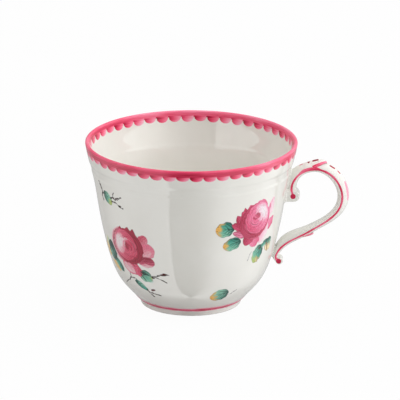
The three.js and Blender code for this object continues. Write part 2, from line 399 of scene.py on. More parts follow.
def roll_field(x, y, z, roll):
    """A roll across the handle with rounded rims, drawn out towards the wall by its reach."""
    along = np.clip(x, roll["x"] - roll["reach"], roll["x"])
    side = np.hypot(x - along, z - roll["z"]) - roll["radius"] + roll["round"]
    end = np.abs(y) - roll["half"] + roll["round"]
    outside = np.hypot(np.maximum(side, 0), np.maximum(end, 0))
    return outside + np.minimum(np.maximum(side, end), 0) - roll["round"]


WALL_COSINE = 1 / np.hypot(1, np.gradient(WALL_PATH[:, 0]) / np.gradient(WALL_PATH[:, 1]))


def wall_field(x, y, z):
    """Distance from the cup's outside wall, a hair under its glaze. It holds near the wall."""
    radius = np.interp(z, WALL_PATH[:, 1], WALL_PATH[:, 0])
    cosine = np.interp(z, WALL_PATH[:, 1], WALL_COSINE)
    return (np.hypot(x, y) - radius) * cosine + 0.03


def handle_field(x, y, z):
    """Strap, volute and tail scroll in one, filleted onto the wall that they are luted to."""
    strap = strap_field(x, y, z)
    volute = roll_field(x, y, z, VOLUTE)
    scroll = roll_field(x, y, z, TAIL_SCROLL)
    cast = blend_min(blend_min(strap, volute, SCROLL_FILLET), scroll, SCROLL_FILLET)
    wall = wall_field(x, y, z)
    joined = blend_min(cast, wall, ROOT_FILLET)
    return np.maximum(joined, np.maximum(-wall - 0.9, cast - ROOT_FILLET * 1.05))


def vertex_normals(points, faces):
    across = np.cross(points[faces[:, 2]] - points[faces[:, 0]],
                      points[faces[:, 3]] - points[faces[:, 1]])
    total = np.zeros_like(points)
    for k in range(4):
        np.add.at(total, faces[:, k], across)
    return total / np.maximum(np.linalg.norm(total, axis=1), 1e-9)[:, None]


# ---- enamel films
FILM = 0.03                # how far fired enamel stands proud of the glaze
FILM_DIP = 0.05            # how far its skin runs under the glaze past its outline


def add_film(name, points, faces, rise, material, slot, **attributes):
    """A thin closed skin over a surface. It stands proud where rise is positive and dips under the
    surface elsewhere, so the zero line of rise draws the outline. Faces well outside it go."""
    normals = vertex_normals(points, faces)
    faces = faces[(rise[faces] > -FILM_DIP).any(axis=1)]
    used = np.unique(faces)
    number = np.zeros(len(points), int)
    number[used] = np.arange(len(used))
    faces, count = number[faces], len(used)
    top = points[used] + normals[used] * np.clip(rise[used], -FILM_DIP, FILM)[:, None]
    bed = points[used] - normals[used] * 2 * FILM_DIP
    edge = np.vstack([faces[:, [k, (k + 1) % 4]] for k in range(4)])
    forward, back = edge[:, 0] * count + edge[:, 1], edge[:, 1] * count + edge[:, 0]
    rim = edge[~np.isin(forward, back)]
    sides = np.stack([rim[:, 1], rim[:, 0], rim[:, 0] + count, rim[:, 1] + count], axis=1)
    faces = np.vstack([faces, faces[:, ::-1] + count, sides])
    doubled = {key: np.concatenate([v[used], v[used]]) for key, v in attributes.items()}
    return add_piece(name, np.vstack([top, bed]), faces, material, (), slot, **doubled)


def wavering(turn, *waves):
    """A hand's unevenness round the cup, about -1 to 1: a sum of (cycles, phase) waves."""
    return sum(np.sin(cycles * turn + phase) for cycles, phase in waves) / len(waves) ** 0.5


# ---- rim band and foot line
SCALLOPS = 49
SCALLOP_STEPS = 16         # grid columns to a scallop
SCALLOP_ROUNDNESS = 2.0
BAND_REACH = 3.3           # the solid band's width, measured from the lip's crest
SCALLOP_REACH = 5.15       # and the scallops' tips
OUTSIDE_PHASE = math.radians(-87.1)
INSIDE_PHASE = math.radians(99.7)
BAND_HIGHLIGHT_TURN = math.radians(125)   # where a paler patch is painted into the band as a highlight of the light from the right
FOOT_LINE_WIDTH = 2.0
FOOT_LINE_RISE = 0.3       # above the joint of foot and bowl


def lip_section(reach, step=0.2):
    """The wall's section over the lip, and the way from its crest, which is positive outside."""
    top = LIP_HEIGHT - 0.1
    outside, inside = outside_path(), inside_path()[::-1]
    section = np.vstack([outside[outside[:, 1] < top], lip_path(40), inside[inside[:, 1] < top]])
    length = way_along(section)
    way = np.arange(reach, -reach - step / 2, -step)
    return path_at(section, length[section[:, 1].argmax()] - way), way


def fire_ring(name, section, way, steps, draw, thinning, radius, material, backwards=False):
    """A painted line round the cup on a strip of wall. draw(way, turn) gives how far inside the line
    a place is, and its tone. One made backwards shows its skin's even back, 2 * FILM_DIP proud."""
    points, turn = turned_grid(section, steps)
    faces = grid_faces(len(way), steps, True)
    inside, tone = draw(way[:, None], turn[None, :])
    around, across = np.meshgrid(turn * radius, way)
    add_film(name, points, faces[:, ::-1] if backwards else faces, inside.ravel() * thinning,
             material, "pink_enamel", tone=tone.ravel(), along=around.ravel(), across=across.ravel())


def draw_band(way, turn):
    """The solid band over the lip and its scallops outside and inside, with painted highlights and
    shade in its tone.
    """
    outside = way > 0
    side = np.where(outside, 1, -1)
    scallop = (turn - np.where(outside, OUTSIDE_PHASE, INSIDE_PHASE)) * SCALLOPS / (2 * math.pi)
    number = np.floor(scallop + 0.5)
    lobe = scallop - number
    band = BAND_REACH + 0.25 * side
    size = SCALLOP_REACH - band + 0.25 * np.sin(number * 2.4) * np.sin(number * 0.9)
    shape = np.maximum(1 - np.abs(lobe / 0.48) ** SCALLOP_ROUNDNESS, 0) ** (1 / SCALLOP_ROUNDNESS)
    hand = wavering(turn, (3, 0.4), (5, 2.0), (11, 1.0))
    # painted highlight: the band is made paler at the back left, where its inner face catches the
    # light from the right; it is folded into the hand's unevenness here
    hand = hand - 1.5 * np.exp(-((turn - BAND_HIGHLIGHT_TURN) / 0.35) ** 2)
    # painted highlight: the band is paler over the lip's crest and darker down each side of it, as
    # the light falls on it
    tone = 0.40 + 0.22 * smoothstep(0.3, 2.2, np.abs(way)) + 0.08 * hand
    # painted light and shade: the band is paler towards the lit right and the back, and darker
    # towards the left and the front
    tone = tone - 0.07 * (np.sin(turn) + np.cos(turn))
    drop = np.clip((np.abs(way) - band) / (SCALLOP_REACH - band), 0, 1)
    shade = 0.60 - 0.75 * (lobe * side + 0.12) - 0.22 * drop + 0.12 * np.sin(number * 1.7)
    in_scallop = smoothstep(band - 0.8, band - 0.1, np.abs(way))
    return band + size * shape - np.abs(way), tone + in_scallop * (shade - tone)


def build_rim_band(material):
    section, way = lip_section(SCALLOP_REACH + 0.5)
    fire_ring("rim_band", section, way, SCALLOPS * SCALLOP_STEPS, draw_band, 0.12, RIM_RADIUS,
              material)


def draw_foot_line(way, turn):
    half = FOOT_LINE_WIDTH / 2 * (1 + 0.14 * wavering(turn, (4, 0.0), (9, 1.2), (23, 2.0)))
    tone = 0.70 + 0.10 * wavering(turn, (5, 0.7), (13, 0.2))
    tone = tone - 0.62 * np.clip(np.abs(way) / half, 0, 1) ** 2
    return half - np.abs(way + 0.08 * wavering(turn, (3, 1.0), (7, 0.0))), tone


def build_foot_line(material):
    reach, step = 1.4, 0.1
    foot, bowl = foot_outside(), outside_path()
    section = np.vstack([foot, bowl[bowl[:, 1] > foot[-1, 1] + 0.02][:40]])
    middle = np.interp(FOOT_HEIGHT + FOOT_LINE_RISE, section[:, 1], way_along(section))
    way = np.arange(-reach, reach + step / 2, step)
    fire_ring("foot_line", path_at(section, middle + way), way, LATHE_STEPS, draw_foot_line, 0.2,
              FOOT_BOTTOM_RADIUS, material, backwards=True)


# ---- handle pieces
# Brush strokes beside the strap's ridge: from x, z to x, z, side, half width, tone
RIDGE_STROKES = (
    (46.3, 60.9, 46.8, 61.1, -0.5, 0.25, 0.70), (59.2, 60.4, 60.3, 59.6, -0.8, 0.45, 0.85),
    (62.5, 58.1, 62.8, 57.7, -0.8, 0.35, 0.75), (65.9, 53.6, 66.9, 46.2, -1.3, 0.80, 0.12),
)
THUMB_STROKE = (47.6, 54.2)   # where the edge line swells beside the thumb leaf


def stroke_depth(x, z, x0, z0, x1, z1, half):
    """How far inside a straight brush stroke of the XZ plane each point lies."""
    run = math.hypot(x1 - x0, z1 - z0)
    share = np.clip(((x - x0) * (x1 - x0) + (z - z0) * (z1 - z0)) / run ** 2, 0, 1)
    return half - np.hypot(x - x0 - share * (x1 - x0), z - z0 - share * (z1 - z0))


def paint_handle(points, faces, material):
    """Lines along both edges of the strap, dots on the scrolls and strokes on the ridge."""
    x, y, z = points.T
    index, out, forward = along_handle(x, z)
    past_end = np.where((index < 0) | (index > HANDLE_SAMPLES - 1), np.abs(forward), 0)
    unevenness = 0.06 * np.sin(index / 9) * np.sin(index / 23 + 1)
    from_edge = np.hypot(np.abs(y) - station_value(index, 2), out)
    swelling = smoothstep(45.0, THUMB_STROKE[0], x) * smoothstep(55.5, THUMB_STROKE[1] - 1, x)
    swelling = np.where((z > 50) & (out > -0.2), 0.55 * swelling, 0)
    depth = 0.46 + unevenness + swelling - np.hypot(from_edge, past_end)
    tone = 0.50 + 0.12 * np.sin(index / 17 + np.sign(y))
    for roll, size, start in ((VOLUTE, 1.15, (42.5, 50.6)), (TAIL_SCROLL, 1.1, (36.1, 20.2))):
        centre = (roll["x"] - 0.3, roll["z"])
        on_end = np.abs(y) > roll["half"] - roll["round"]
        dot = np.where(on_end, size - np.hypot(x - centre[0], z - centre[1]), -9)
        lead = np.where(on_end, stroke_depth(x, z, *start, *centre, 0.42), -9)
        tone = np.where(dot > depth, 0.75, tone)
        depth = np.maximum(depth, np.maximum(dot, lead))
    for *stroke, side, half, shade in RIDGE_STROKES:
        aside = np.abs(y - side) / half
        dash = stroke_depth(x, z, *stroke, 0.6 + half / 2) - 0.6 * aside ** 2
        dash = np.minimum(dash, half * (1 - aside))
        tone = np.where(dash > depth, shade, tone)
        depth = np.maximum(depth, dash)
    add_film("handle_lines", points, faces, depth * 0.3, material, "pink_enamel",
             tone=tone, along=index * HANDLE_LENGTH / HANDLE_SAMPLES, across=y)


def build_handle(material, enamel):
    points, faces = surface_net(handle_field, *HANDLE_BOX, HANDLE_NET)
    points = settle_on(handle_field, points, faces)
    add_piece("handle", points, faces, material,
              ("handle_loop", "upper_volute", "handle_tail", "tail_scroll",
               "upper_slip_joint", "lower_slip_joint"))
    paint_handle(points, faces, enamel)


# Leaves: ridge x, z; edge x, z; half width; thickness
THUMB_LEAF = (
    (44.6, 58.7, 46.0, 57.0, 2.6, 1.2), (46.4, 60.3, 48.0, 58.4, 2.9, 1.2),
    (48.8, 61.9, 50.0, 59.6, 3.1, 1.1), (51.4, 62.9, 52.0, 60.5, 3.1, 1.0),
    (53.8, 63.4, 54.0, 61.4, 2.7, 0.9), (55.7, 63.2, 55.8, 62.1, 2.0, 0.8),
    (57.0, 62.6, 57.0, 62.3, 1.1, 0.6), (57.5, 62.0, 57.5, 61.9, 0.3, 0.4),
)
LOWER_LEAF = (
    (42.5, 26.9, 42.8, 28.1, 2.2, 1.3), (45.2, 27.9, 45.4, 29.1, 2.6, 1.2),
    (47.6, 28.6, 47.6, 29.7, 2.6, 1.1), (49.6, 29.1, 49.6, 30.0, 2.1, 1.0),
    (51.2, 29.6, 51.1, 30.2, 1.3, 0.8), (52.0, 30.1, 51.9, 30.4, 0.4, 0.5),
)
LEAF_ROWS, LEAF_COLUMNS = 120, 49
LEAF_RIB_DEPTH = 0.09
LEAF_DASHES = ((48.6, 50.1), (51.3, 53.9))   # along the thumb leaf: from x, to x


def leaf_surface(stations, facing):
    """A ribbed leaf as a grid that runs across its outer face and back across the face under it.
    facing is 1 for a leaf on top of the strap and -1 for one below."""
    row = cubic_spline(stations, LEAF_ROWS)
    share = np.linspace(0, 1, LEAF_ROWS)[:, None]
    across = np.sin(np.linspace(-1, 1, LEAF_COLUMNS) * math.pi / 2)[None, :]
    arch = 1 - np.abs(across) ** 1.7
    ribs = (np.cos(across * 5 * math.pi) - 1) / 2 * LEAF_RIB_DEPTH * (1 - across ** 4)
    x = row[:, 2:3] + (row[:, 0:1] - row[:, 2:3]) * arch
    z = row[:, 3:4] + (row[:, 1:2] - row[:, 3:4]) * arch
    z = z + facing * ribs * smoothstep(0.15, 0.5, share)
    y = across * np.maximum(row[:, 4:5], 0.1) * (1 - 0.04 * np.cos(share * 10 * math.pi) ** 2)
    outer = np.stack([x, y, z], axis=-1)
    under = outer[:, ::-1].copy()
    under[..., 2] -= facing * row[:, 5:6] * (0.35 + 0.65 * np.sqrt(1 - across ** 4))
    return np.concatenate([outer, under], axis=1), share, np.hstack([across, across[:, ::-1]])


def build_leaf(name, stations, facing, material, enamel):
    grid, share, across = leaf_surface(stations, facing)
    columns = 2 * LEAF_COLUMNS
    faces = grid_faces(LEAF_ROWS, columns, True)
    k = np.arange(LEAF_COLUMNS - 1)
    start = np.stack([k, columns - 1 - k, columns - 2 - k, k + 1], axis=1)
    tip = (LEAF_ROWS - 1) * columns + start[:, ::-1]
    faces = np.vstack([faces, start, tip])
    if facing > 0:
        faces = faces[:, ::-1]
    points = grid.reshape(-1, 3)
    add_piece(name, points, faces, material, (name,))
    half = np.abs(grid[:, 0, 1])[:, None]
    from_tip = (1 - share) * 14
    from_edge = half * (1 - np.abs(across))
    reach = np.interp(share, (0, 0.25, 0.55, 1), (0.1, 0.25, 0.75, 0.75))
    outer = np.arange(columns) < LEAF_COLUMNS
    reach = np.where(outer, reach, 0.15)
    depth = (reach - np.minimum(from_edge, from_tip)).ravel()
    tone = (0.62 - 0.36 * smoothstep(0.35, 1, share) + 0 * across).ravel()
    x, y = points[:, 0], points[:, 1]
    if facing > 0:
        for x0, x1 in LEAF_DASHES:
            dash = np.minimum(0.50 - np.abs(y + 0.5), np.minimum(x - x0, x1 - x) * 0.5)
            dash = np.where(np.tile(outer, LEAF_ROWS), dash, -9)
            tone = np.where(dash > depth, 0.95, tone)
            depth = np.maximum(depth, dash)
    add_film(name + "_strokes", points, faces, depth * 0.2, enamel, "pink_enamel",
             tone=tone, along=x, across=y)


# ---- brushwork
# A canvas is a grid on the wall in millimetres: u runs right round the cup and v up the wall.
CANVAS_STEP = 0.14


def colour(red, green, blue):
    """Linear colour from the usual 0-255 values."""
    c = np.array((red, green, blue)) / 255
    return np.where(c <= 0.04045, c / 12.92, ((c + 0.055) / 1.055) ** 2.4)


TEAL, DEEP_GREEN, PALE_GREEN = colour(72, 172, 150), colour(10, 66, 58), colour(172, 226, 198)
OCHRE, LIME, STRAW = colour(246, 190, 100), colour(188, 208, 120), colour(248, 228, 180)
TWIG, DARK_BUD, BROWN = colour(58, 46, 32), colour(84, 24, 28), colour(140, 92, 50)
DEEP_ROSE = (colour(132, 14, 38), colour(206, 46, 82), colour(240, 116, 146), colour(255, 238, 240))
SOFT_ROSE = (colour(160, 30, 60), colour(226, 88, 126), colour(253, 152, 188), colour(255, 240, 246))


def new_canvas(left, right, bottom, top):
    u, v = np.meshgrid(np.arange(left, right, CANVAS_STEP), np.arange(bottom, top, CANVAS_STEP))
    hand_u = u + 0.20 * streaks(u * 0.9, v * 0.8, 1)
    hand_v = v + 0.20 * streaks(v * 0.9, u * 0.8, 2)
    return dict(place=(u, v), u=hand_u, v=hand_v, tint=np.zeros(u.shape + (3,)),
                cover=np.zeros(u.shape), depth=np.full(u.shape, -9.0))


def streaks(x, y, seed=0):
    """Smooth unevenness, about -1 to 1, from a few crossed waves."""
    total = 0
    for k in range(5):
        slope = 0.8 + 0.47 * ((3 * k + seed) % 5)
        total = total + np.sin(x * (1 + 0.63 * k) + y * slope + 5 * math.sin(1.7 * seed + 2.4 * k))
    return total / 2.6


def lay(canvas, inside, tint, strength=1.0):
    """Lay colour where inside, a distance in millimetres, is positive. Its edge is soft."""
    share = smoothstep(-0.08, 0.22, inside) * strength
    cover = share + canvas["cover"] * (1 - share)
    mix = share / np.maximum(cover, 1e-6)
    canvas["tint"] = canvas["tint"] + (tint - canvas["tint"]) * mix[..., None]
    canvas["cover"] = cover
    if strength > 0.35:
        canvas["depth"] = np.maximum(canvas["depth"], inside)


def blend(first, second, share):
    share = np.clip(share, 0, 1)
    return first + (second - first) * share[..., None]


def stroke_axes(canvas, start, end):
    """Share of the way along from start to end, the way to the left of that axis and its length."""
    du, dv = end[0] - start[0], end[1] - start[1]
    length = math.hypot(du, dv)
    u, v = canvas["u"] - start[0], canvas["v"] - start[1]
    return (u * du + v * dv) / length ** 2, (v * du - u * dv) / length, length


def stroke_inside(along, left, length, width, belly, point):
    """belly moves the widest place to the tip above 1; point is low for round ends."""
    half = width / 2 * np.sin(math.pi * np.clip(along, 0, 1) ** belly) ** point
    past = np.maximum(np.maximum(-along, along - 1), 0) * length
    return half - np.abs(left) - past


def petal(canvas, start, end, width, dark, light, side=1.0, belly=1.3, point=0.7, outline=0.8,
          strength=1.0, seed=0):
    """A petal from its base to its tip, lighter on one side, with a darker drawn edge."""
    along, left, length = stroke_axes(canvas, start, end)
    inside = stroke_inside(along, left, length, width, belly, point)
    shade = 0.55 + 0.9 * side * left / width + 0.38 * streaks(left * 6, along * 2.5, seed)
    tint = blend(dark, light, shade)
    tint = blend(tint, dark * 0.85, outline * smoothstep(0.55, 0.1, inside))
    lay(canvas, inside, tint, strength)


def blob(canvas, centre, radii, tilt, dark, light, toward, strength=1.0, seed=0, soft=1.0):
    """An oval of colour that darkens towards an angle. Angles are in degrees from the right."""
    turn = math.radians(tilt)
    u, v = canvas["u"] - centre[0], canvas["v"] - centre[1]
    a = (u * math.cos(turn) + v * math.sin(turn)) / radii[0]
    b = (v * math.cos(turn) - u * math.sin(turn)) / radii[1]
    inside = (1 - np.hypot(a, b)) * min(radii)
    way = math.radians(toward)
    lean = (u * math.cos(way) + v * math.sin(way)) / max(radii)
    shade = 0.5 - 0.6 * lean + 0.2 * streaks(u * 2.4, v * 2.4, seed)
    lay(canvas, inside / soft, blend(dark, light, shade), strength)


def arc(canvas, centre, radii, middle, spread, width, inner, outer, strength=1.0, seed=0):
    """A curved petal edge: part of an oval ring, tapering to its ends."""
    u, v = (canvas["u"] - centre[0]) / radii[0], (canvas["v"] - centre[1]) / radii[1]
    mean = (radii[0] + radii[1]) / 2
    turn = np.degrees(np.arctan2(v, u))
    offset = ((turn - middle + 180) % 360 - 180) / spread
    taper = np.sqrt(np.clip(1 - offset ** 2, 0, 1))
    out = (np.hypot(u, v) - 1) * mean
    inside = np.where(np.abs(offset) < 1, width / 2 * taper - np.abs(out), -9)
    shade = 0.5 + out / width + 0.25 * streaks(out * 6, offset * 3, seed)
    lay(canvas, inside, blend(inner, outer, shade), strength)


def leaf(canvas, start, end, width, body, tip, tip_share=0.32, side=1.0, seed=0):
    """A leaf or bud from its stalk to its tip, with a midrib, side veins and a dark edge."""
    along, left, length = stroke_axes(canvas, start, end)
    inside = stroke_inside(along, left, length, width, 0.9, 0.52)
    across = 2 * side * left / width
    grain = streaks(left * 6, along * 4, seed)
    tint = blend(body, PALE_GREEN, 0.15 + 0.55 * across + 0.35 * grain)
    tint = blend(tint, DEEP_GREEN, smoothstep(0.45, -0.05, along + 0.12 * across) * 0.9)
    tint = blend(tint, DEEP_GREEN, smoothstep(-0.15, -1.0, across) * 0.55)
    turned = along + 0.06 * np.cos(left * 2.2) + 0.03 * grain
    tint = blend(tint, tip, smoothstep(0.80 - tip_share, 1.10 - tip_share, turned))
    vein = smoothstep(0.22, 0.04, np.abs(left + 0.12)) * smoothstep(0.80, 0.45, along)
    comb = smoothstep(0.35, 0.95, np.sin(along * 30 - np.abs(left) * 5 + seed))
    sides = comb * smoothstep(0.70, 0.35, along) * smoothstep(0.1, 0.6, inside)
    tint = blend(tint, DEEP_GREEN * 0.5, np.maximum(vein, sides) * 0.85)
    speck = smoothstep(0.2, 0.8, np.sin(left * 5 + seed) * np.cos(along * 23 + left * 2))
    tint = blend(tint, BROWN, speck * smoothstep(0.78, 0.95, along) * 0.8)
    drawn = 0.35 + 0.65 * smoothstep(0.5, -0.6, across) * (0.75 + 0.25 * grain)
    tint = blend(tint, DEEP_GREEN * 0.45 + TWIG * 0.35, smoothstep(0.50, 0.10, inside) * drawn)
    lay(canvas, inside, tint)


def twig(canvas, points, width=0.5, tint=TWIG, strength=1.0):
    """A thin branch through the points, swelling and thinning as the brush does."""
    path = cubic_spline(points, 60)
    inside = np.full(canvas["u"].shape, -9.0)
    for k, (u, v) in enumerate(path):
        half = width / 2 * (1 + 0.28 * math.sin(k * 0.33))
        inside = np.maximum(inside, half - np.hypot(canvas["u"] - u, canvas["v"] - v))
    lay(canvas, inside, tint, strength)


def brush_round(canvas, centre, size, amount, seed):
    """Comb fine strokes round a centre into what is already laid within size of it."""
    u, v = canvas["u"] - centre[0], canvas["v"] - centre[1]
    out, turn = np.hypot(u, v), np.arctan2(v, u)
    comb = streaks(out * 7, turn * 3, seed) * 0.7 + streaks(out * 3.2, turn * 2, seed + 1) * 0.7
    share = amount * comb * smoothstep(size * 1.05, size * 0.9, out)
    canvas["tint"] = np.clip(canvas["tint"] * (1 + share)[..., None], 0, 1)


def rose(canvas, centre, size, away, heart, shades, seed=0):
    """A full rose seen from a little to one side. away is the angle of its shaded side, and heart
    the place of its middle: shares of the size towards that side and to its left."""
    dark, rich, middle, pale = shades
    way = math.radians(away)

    def at(out, left=0.0):
        return (centre[0] + size * (out * math.cos(way) - left * math.sin(way)),
                centre[1] + size * (out * math.sin(way) + left * math.cos(way)))

    def ring(place, radius, turn, spread, width, inner, outer, strength=1.0):
        arc(canvas, place, (size * radius, size * radius * 1.04), away + turn, spread, width,
            inner, outer, strength, seed + int(turn))

    blob(canvas, centre, (size, size * 0.97), 0, dark, rich, away, seed=seed)
    for k in range(5):
        ring(at(0.02 * k), 0.95 - 0.10 * k, 17 * (-1) ** k * (1 + 0.3 * k), 78 - 6 * k, 0.8,
             rich, dark, 0.75)
        ring(at(0.02 * k), 0.90 - 0.10 * k, 22 - 15 * k, 52, 0.28, middle, middle, 0.5)
    cup = at(-0.18)
    blob(canvas, cup, (size * 0.80, size * 0.84), 0, rich, middle, away, seed=seed + 3)
    ring(cup, 0.78, 8, 72, 0.7, middle, dark, 0.7)
    blob(canvas, at(-0.50, -0.05), (size * 0.42, size * 0.60), away, middle, pale, away, 1.0,
         seed, 4)
    blob(canvas, at(-0.58, -0.02), (size * 0.24, size * 0.42), away, pale, pale, away, 0.8, seed, 5)
    folds = (
        (0.10, 0.12, 0.56, -62, 50, 2.0, middle, rich, 0.75),
        (0.04, -0.10, 0.55, 66, 46, 1.9, middle, rich, 0.75),
        (0.02, 0.05, 0.44, -12, 62, 1.5, middle, rich, 0.75),
        (0.12, 0.00, 0.40, 30, 50, 1.1, dark, middle, 0.75),
        (-0.02, 0.06, 0.34, -48, 44, 1.3, rich, middle, 0.75),
        (0.04, -0.04, 0.24, 12, 60, 0.8, middle, rich, 0.75),
        (-0.02, 0.02, 0.38, 172, 44, 2.0, pale, pale, 0.75),
        (0.03, 0.05, 0.30, 118, 34, 1.3, middle, pale, 0.75),
        (0.05, 0.1, 0.62, -80, 34, 0.32, dark, rich, 0.6),
        (0.1, 0.0, 0.52, 12, 34, 0.32, dark, rich, 0.6),
        (-0.1, -0.1, 0.55, 108, 34, 0.32, dark, rich, 0.6))
    for out, left, radius, turn, spread, width, inner, outer, strength in folds:
        ring(at(heart[0] + out, heart[1] + left), radius, turn, spread, width, inner, outer, strength)
    blob(canvas, at(*heart), (size * 0.16, size * 0.22), away + 35, dark, rich, away + 200, 0.9,
         seed, 2)
    ring(at(heart[0] + 0.10, heart[1] - 0.10), 0.20, 40, 70, 0.9, dark, rich, 0.8)
    ring(at(heart[0] - 0.04, heart[1] + 0.05), 0.13, 185, 60, 0.55, middle, pale, 0.85)
    brush_round(canvas, at(*heart), size * 1.3, 0.17, seed)


def wall_place(angle, length, u, v):
    """Points of the outside wall. angle is in degrees from the front towards the handle, and
    length is the way up the wall from the foot."""
    radius, z = np.moveaxis(path_at(outside_path(), length + v), -1, 0)
    turn = math.radians(angle) + u / radius
    return np.stack([radius * np.sin(turn), -radius * np.cos(turn), z], axis=-1).reshape(-1, 3)


def fire_spray(name, canvas, angle, length, material):
    """Turn a painted canvas into an enamel film on the wall."""
    u, v = canvas["place"]
    points = wall_place(angle, length, u, v)
    paint = np.concatenate([canvas["tint"], canvas["cover"][..., None]], axis=-1).reshape(-1, 4)
    add_film(name, points, grid_faces(*u.shape), (canvas["depth"] + 0.05).ravel() * 0.2, material,
             "painted_sprays", paint=paint)


def soft_rose_spray():
    """A full pale rose with four leaves."""
    c = new_canvas(-22, 13, -22.5, 10.5)
    dark, rich, middle, pale = SOFT_ROSE
    leaf(c, (-11.7, -2.4), (-20.2, -1.2), 7.4, TEAL, OCHRE, 0.24, 1, 1)
    leaf(c, (-7.4, -8.4), (-15.9, -10.0), 6.3, TEAL, OCHRE, 0.20, 1, 2)
    leaf(c, (4.9, -12.6), (2.2, -21.0), 6.6, TEAL, LIME, 0.26, -1, 3)
    petal(c, (3.4, -18.0), (4.6, -20.9), 2.2, STRAW, BROWN, 1, 1.0, 0.7, 0.2, 0.8, 4)
    leaf(c, (10.6, -11.0), (3.8, -14.6), 2.6, TEAL, DEEP_GREEN, 0.2, 1, 4)
    leaf(c, (10.9, -10.6), (10.9, -17.6), 5.6, TEAL, STRAW, 0.5, 1, 5)
    twig(c, ((9.4, -13.0), (9.8, -14.6), (10.9, -16.8)), 0.9, BROWN, 0.9)
    twig(c, ((-1.9, -18.8), (-1.4, -16.9), (-0.6, -15.0)), 0.45, TWIG, 0.6)
    petal(c, (7.0, -1.6), (10.2, 8.6), 4.4, middle, pale, -1, 1.1, 0.8, 0.5, seed=1)
    petal(c, (6.6, -0.4), (8.0, 6.2), 1.6, rich, middle, -1, 1.1, 0.8, 0.5, 0.8, 5)
    petal(c, (5.6, -7.2), (11.6, -0.8), 4.6, rich, middle, 1, 1.2, 0.8, 0.6, seed=2)
    petal(c, (7.5, -3.0), (3.2, -11.6), 4.8, middle, pale, 1, 0.9, 0.6, 0.35, seed=3)
    petal(c, (0.6, 1.5), (2.6, 9.2), 9.4, rich, middle, 1, 0.8, 0.55, 0.7, seed=4)
    petal(c, (-1.0, 2.0), (-5.2, 7.6), 5.6, rich, middle, -1, 0.9, 0.6, 0.7, seed=5)
    petal(c, (-6.5, -1.5), (-7.5, 7.4), 4.6, dark, rich, 1, 0.9, 0.9, 0.8, seed=6)
    petal(c, (-6.0, -3.0), (-11.0, 4.0), 4.4, dark, rich, -1, 1.1, 0.7, 0.8, seed=7)
    petal(c, (-7.0, -3.5), (-13.2, 0.4), 3.2, dark, rich, 1, 1.2, 0.7, 0.8, seed=8)
    petal(c, (-3.0, -6.0), (-12.0, -3.9), 3.8, dark, middle, 1, 1.0, 0.7, 0.9, seed=9)
    petal(c, (0.8, -5.0), (-0.6, -12.8), 6.0, rich, middle, -1, 1.5, 0.6, 0.4, seed=10)
    petal(c, (-2.2, -4.5), (-4.8, -11.0), 5.8, dark, rich, 1, 1.3, 0.6, 0.9, seed=11)
    rose(c, (-0.7, -0.1), 8.7, 218, (-0.26, -0.13), SOFT_ROSE, 3)
    return c


